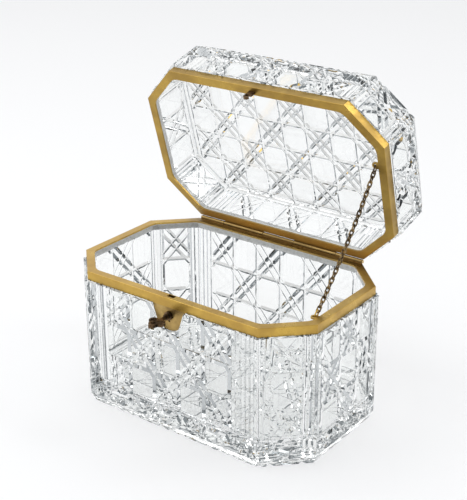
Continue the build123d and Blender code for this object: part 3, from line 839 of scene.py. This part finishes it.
def studio_world(strength):
    """Light from all round: pale above, with a dimmer room in front that lines the glass."""
    world = bpy.data.worlds.new("studio")
    bpy.context.scene.world = world
    world.use_nodes = True
    tree = world.node_tree
    tree.nodes.clear()
    out = node(tree, "ShaderNodeOutputWorld", (600, 0))
    sky = node(tree, "ShaderNodeBackground", (400, 0), Strength=strength)
    way = node(tree, "ShaderNodeTexCoord", (-700, 0)).outputs["Generated"]
    parts = node(tree, "ShaderNodeSeparateXYZ", (-500, 0))
    tree.links.new(way, parts.inputs[0])
    height = between(tree, parts.outputs["Z"], 0.0, 1.0, (-300, 0), start=-1.0)
    rise = ramp(tree, height, (-100, 100), RISE_STOPS)
    ahead = vector_maths(tree, "DOT_PRODUCT", (-500, -250), way, ROOM_SIDE)
    front = between(tree, ahead.outputs["Value"], 0.0, 1.0, (-300, -250), start=-1.0)
    room = ramp(tree, front, (-100, -250), ROOM_STOPS)
    tone = mix_colour(tree, room, ROOM_TONE, PALE, (50, -250))
    lit = mix_colour(tree, 1.0, rise, tone, (200, 0), blend="MULTIPLY")
    tree.links.new(lit, sky.inputs["Color"])
    tree.links.new(sky.outputs[0], out.inputs["Surface"])


def soft_light(name, power, place, target, size):
    """A soft lamp that faces its target."""
    data = bpy.data.lights.new(name, "AREA")
    data.shape = "RECTANGLE"
    data.size, data.size_y = size
    data.energy = power
    made = bpy.data.objects.new(name, data)
    bpy.context.scene.collection.objects.link(made)
    made.location = place
    made.rotation_euler = (Vector(target) - Vector(place)).to_track_quat("-Z", "Y").to_euler()


class CASKET_OT_stage(Operator):
    """Lay the floor, hang the lights and set the camera"""

    bl_idname = "casket.stage"
    bl_label = "Stage"

    def execute(self, context):
        sizes = context.scene.casket_stage
        bm = bmesh.new()
        bmesh.ops.create_grid(bm, x_segments=1, y_segments=1, size=FLOOR_HALF,
                              matrix=Matrix.Translation((0, 0, -sizes.floor_gap)))
        mesh = bpy.data.meshes.new("floor")
        bm.to_mesh(mesh)
        bm.free()
        floor = bpy.data.objects.new("floor", mesh)
        context.scene.collection.objects.link(floor)
        mesh.materials.append(floor_material(tuple(sizes.floor_colour)))
        studio_world(sizes.sky)
        context.scene.view_settings.view_transform = "Standard"
        soft_light("main_light", sizes.key_light, *MAIN_LIGHT)
        soft_light("back_light", sizes.back_light, *BACK_LIGHT)

        camera = bpy.data.objects.new("camera", bpy.data.cameras.new("camera"))
        context.scene.collection.objects.link(camera)
        camera.data.sensor_width = SENSOR_WIDTH
        camera.data.lens = sizes.lens
        camera.data.clip_start = NEAREST
        azimuth, elevation = math.radians(sizes.azimuth), math.radians(sizes.elevation)
        back = Vector((math.sin(azimuth) * math.cos(elevation),
                       -math.cos(azimuth) * math.cos(elevation), math.sin(elevation)))
        turn = back.to_track_quat("Z", "Y").to_matrix().to_4x4()
        spin = Matrix.Rotation(math.radians(sizes.roll), 4, "Z")
        spot = Vector((sizes.camera_x, sizes.camera_y, sizes.camera_z))
        camera.matrix_world = Matrix.Translation(spot) @ turn @ spin
        context.scene.camera = camera
        return {"FINISHED"}


STEPS = (CASKET_OT_glass_base, CASKET_OT_glass_lid, CASKET_OT_collars, CASKET_OT_hinge_pin,
         CASKET_OT_lock, CASKET_OT_key, CASKET_OT_chain, CASKET_OT_cement, CASKET_OT_stage)


class CASKET_PT_steps(Panel):
    """Sizes, colours and steps of the glass casket"""

    bl_idname = "CASKET_PT_steps"
    bl_label = "Glass casket"
    bl_space_type = "VIEW_3D"
    bl_region_type = "UI"
    bl_category = "Casket"

    def draw(self, context):
        for step in STEPS:
            self.layout.operator(step.bl_idname)
        for name, group in SETTINGS.items():
            settings = getattr(context.scene, name)
            for key in group.__annotations__:
                self.layout.prop(settings, key)


SETTINGS = {"casket_cuts": CutSizes, "casket_glass": GlassFinish, "casket_metal": MetalFinish,
            "casket_stage": StageSizes}


def register():
    for group in SETTINGS.values():
        bpy.utils.register_class(group)
    for name, group in SETTINGS.items():
        setattr(bpy.types.Scene, name, PointerProperty(type=group))
    for step in (*STEPS, CASKET_PT_steps):
        bpy.utils.register_class(step)


def unregister():
    for step in (CASKET_PT_steps, *reversed(STEPS)):
        bpy.utils.unregister_class(step)
    for name in SETTINGS:
        delattr(bpy.types.Scene, name)
    for group in SETTINGS.values():
        bpy.utils.unregister_class(group)


def main():
    register()
    for step in STEPS:
        area, name = step.bl_idname.split(".")
        getattr(getattr(bpy.ops, area), name)()


if __name__ == "__main__":
    main()
